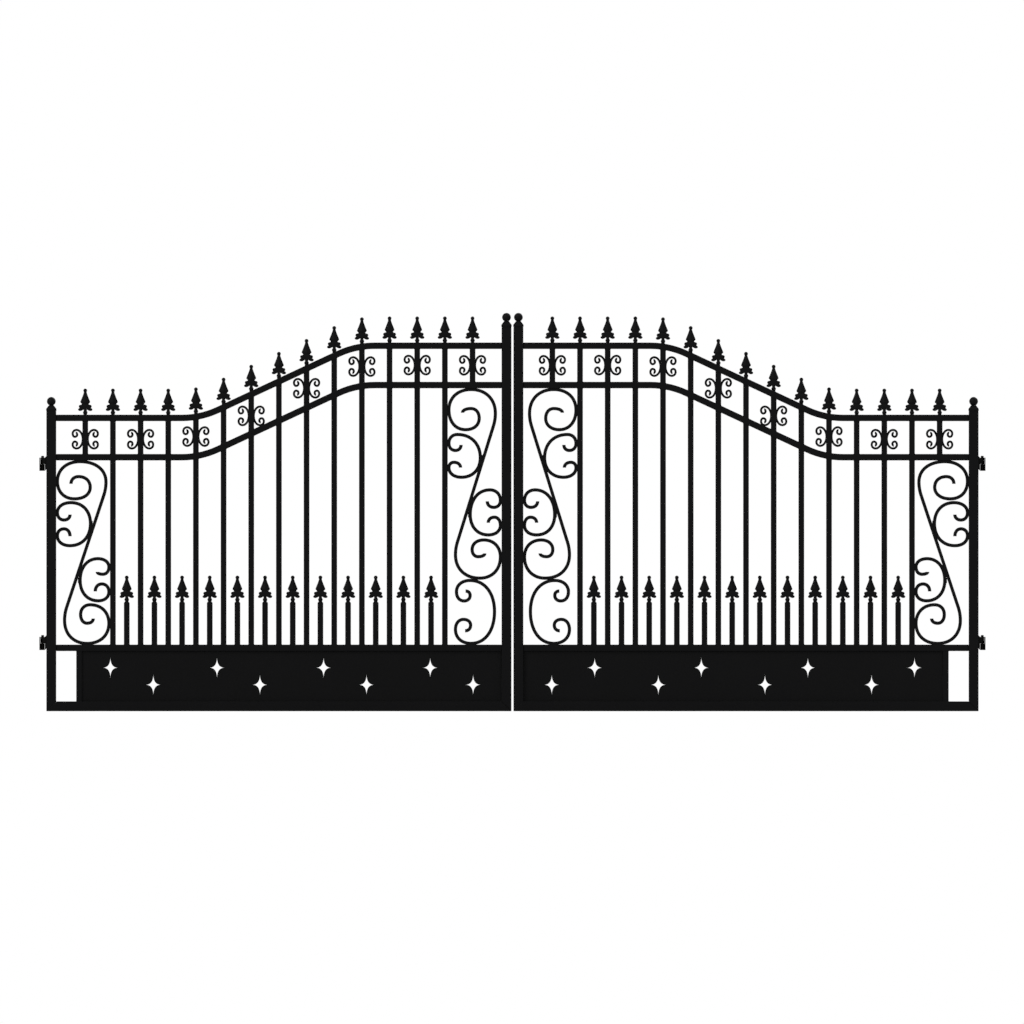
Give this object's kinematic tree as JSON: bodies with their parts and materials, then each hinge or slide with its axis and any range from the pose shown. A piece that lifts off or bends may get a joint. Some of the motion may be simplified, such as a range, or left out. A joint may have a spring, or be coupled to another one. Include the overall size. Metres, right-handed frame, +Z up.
{
  "type": "wrought iron driveway gate",
  "caption": "Pair of hinged wrought iron driveway gate leaves with an ogee top, spear-headed pickets, scroll side panels and a pierced kick panel.",
  "frame": {"origin": "middle of the lower left hinge plate, on the face that bears on the pier", "axes": "+X across the opening to the right pier, +Z up, the front faces -Y and the leaves open towards +Y"},
  "size_m": [3.658, 0.071, 1.54],
  "materials": {
    "painted_bar": "satin",
    "painted_casting": "satin",
    "painted_scrollwork": "satin",
    "painted_sheet": "satin",
    "hinge_iron": "satin"
  },
  "bodies": {
    "brackets": {"left_hinge_brackets": "hinge_iron", "right_hinge_brackets": "hinge_iron"},
    "left_leaf": {"left_hinge_stile": "painted_bar", "left_meeting_stile": "painted_bar", "left_stile_finials": "painted_casting", "left_top_rail": "painted_bar", "left_frieze_rail": "painted_bar", "left_mid_rail": "painted_bar", "left_bottom_rail": "painted_bar", "left_panel_upright": "painted_bar", "left_kick_panel": "painted_sheet", "left_pickets": "painted_bar", "left_frieze_bars": "painted_bar", "left_dog_bars": "painted_bar", "left_picket_spears": "painted_casting", "left_dog_bar_spears": "painted_casting", "left_frieze_scrolls": "painted_scrollwork", "left_hinge_side_s_scroll": "painted_scrollwork", "left_hinge_side_c_scrolls": "painted_scrollwork", "left_meeting_side_s_scroll": "painted_scrollwork", "left_meeting_side_c_scrolls": "painted_scrollwork", "left_hinge_eyes": "hinge_iron"},
    "right_leaf": {"right_hinge_stile": "painted_bar", "right_meeting_stile": "painted_bar", "right_stile_finials": "painted_casting", "right_top_rail": "painted_bar", "right_frieze_rail": "painted_bar", "right_mid_rail": "painted_bar", "right_bottom_rail": "painted_bar", "right_panel_upright": "painted_bar", "right_kick_panel": "painted_sheet", "right_pickets": "painted_bar", "right_frieze_bars": "painted_bar", "right_dog_bars": "painted_bar", "right_picket_spears": "painted_casting", "right_dog_bar_spears": "painted_casting", "right_frieze_scrolls": "painted_scrollwork", "right_hinge_side_s_scroll": "painted_scrollwork", "right_hinge_side_c_scrolls": "painted_scrollwork", "right_meeting_side_s_scroll": "painted_scrollwork", "right_meeting_side_c_scrolls": "painted_scrollwork", "right_hinge_eyes": "hinge_iron"}
  },
  "joints": [
    {"name": "left_leaf_swing", "type": "hinge", "parent": "brackets", "child": "left_leaf", "pos_m": [0.0125, 0, 0], "axis": [0, 0, 1], "range_deg": [0, 90]},
    {"name": "right_leaf_swing", "type": "hinge", "parent": "brackets", "child": "right_leaf", "pos_m": [3.6455, 0, 0], "axis": [0, 0, -1], "range_deg": [0, 90]}
  ]
}
